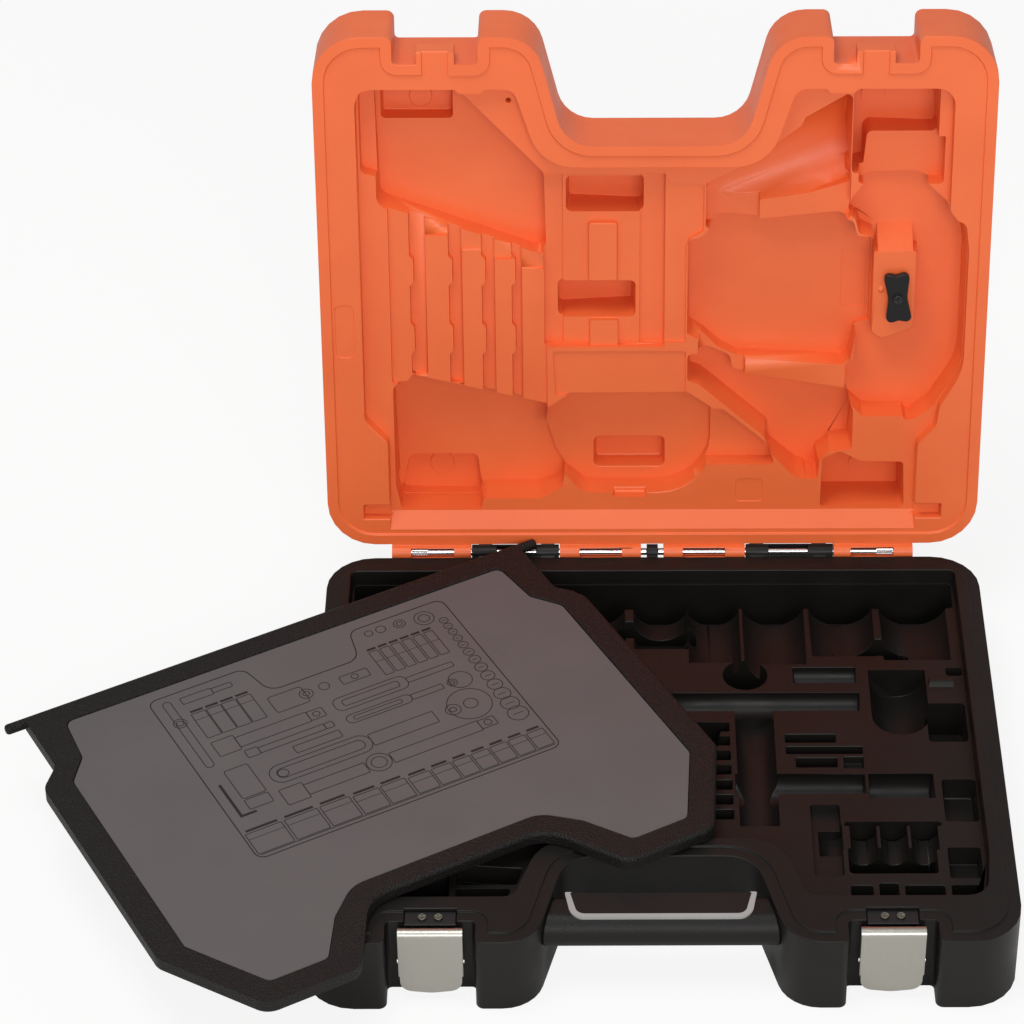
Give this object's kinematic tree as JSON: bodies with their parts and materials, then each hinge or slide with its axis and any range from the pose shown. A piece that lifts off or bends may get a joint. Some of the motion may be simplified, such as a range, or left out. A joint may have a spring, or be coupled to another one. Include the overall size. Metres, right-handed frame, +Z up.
{
  "type": "hard tool case",
  "caption": "Moulded hard tool case lying open: orange lid and black base with shaped tool pockets, carrying handle, flip latches and a loose printed inlay panel.",
  "frame": {"origin": "the middle of the base's bottom face", "axes": "+Z up, +X to the right seen from the handle side, +Y from the handle towards the hinge"},
  "size_m": [0.6465, 0.5491, 0.4318],
  "materials": {
    "base_plastic": "satin",
    "lid_plastic": "satin",
    "pin_steel": "polished",
    "bracket_steel": "satin",
    "screw_steel": "satin",
    "latch_plate_metal": "satin",
    "grip_plastic": "grained",
    "thumb_plastic": "satin",
    "inlay_plastic": "satin",
    "panel_plastic": "grained",
    "sheet_print": "matt print",
    "clip_plastic": "satin"
  },
  "bodies": {
    "base": {"base_shell": "base_plastic", "hinge_pin_left": "pin_steel", "hinge_pin_right": "pin_steel", "handle_grip": "grip_plastic", "handle_rod": "pin_steel", "handle_thumb_rest": "thumb_plastic", "handle_inlay": "inlay_plastic", "latch_bracket_left": "bracket_steel", "latch_screws_left": "screw_steel", "latch_base_pin_left": "screw_steel", "latch_bracket_right": "bracket_steel", "latch_screws_right": "screw_steel", "latch_base_pin_right": "screw_steel"},
    "lid": {"lid_shell": "lid_plastic", "clip_screw": "screw_steel", "clip_washer": "screw_steel"},
    "clip": {"turn_clip": "clip_plastic"},
    "panel": {"panel_frame": "panel_plastic", "panel_bar": "panel_plastic", "panel_sheet": "sheet_print"},
    "link_left": {"latch_links_left": "screw_steel", "latch_cover_pin_left": "screw_steel"},
    "link_right": {"latch_links_right": "screw_steel", "latch_cover_pin_right": "screw_steel"},
    "cover_left": {"latch_cover_left": "latch_plate_metal"},
    "cover_right": {"latch_cover_right": "latch_plate_metal"}
  },
  "joints": [
    {"name": "lid_hinge", "type": "hinge", "parent": "base", "child": "lid", "pos_m": [0, 0.193, 0.057], "axis": [1, 0, 0], "range_deg": [0, 99.4]},
    {"name": "panel_slide", "type": "slide", "parent": "base", "child": "panel", "axis": [-0.9397, -0.342, 0], "range_m": [0, 0.32]},
    {"name": "clip_turn", "type": "hinge", "parent": "lid", "child": "clip", "pos_m": [0.163, 0.23114, 0.24327], "axis": [0, -0.9866, 0.1633], "range_deg": [0, 90]},
    {"name": "latch_left_link", "type": "hinge", "parent": "base", "child": "link_left", "pos_m": [-0.1426, -0.1737, 0.0392], "axis": [-1, 0, 0], "range_deg": [0, 180]},
    {"name": "latch_left_cover", "type": "hinge", "parent": "link_left", "child": "cover_left", "pos_m": [-0.1426, -0.1737, 0.0285], "axis": [-1, 0, 0], "range_deg": [-180, 0]},
    {"name": "latch_right_link", "type": "hinge", "parent": "base", "child": "link_right", "pos_m": [0.1426, -0.1737, 0.0392], "axis": [-1, 0, 0], "range_deg": [0, 180]},
    {"name": "latch_right_cover", "type": "hinge", "parent": "link_right", "child": "cover_right", "pos_m": [0.1426, -0.1737, 0.0285], "axis": [-1, 0, 0], "range_deg": [-180, 0]}
  ],
  "couplings": [
    {"joint": "panel_slide", "follows": "lid_hinge", "m_per_rad": 0.184},
    {"joint": "latch_left_cover", "follows": "latch_left_link", "ratio": -1},
    {"joint": "latch_right_cover", "follows": "latch_right_link", "ratio": -1}
  ]
}
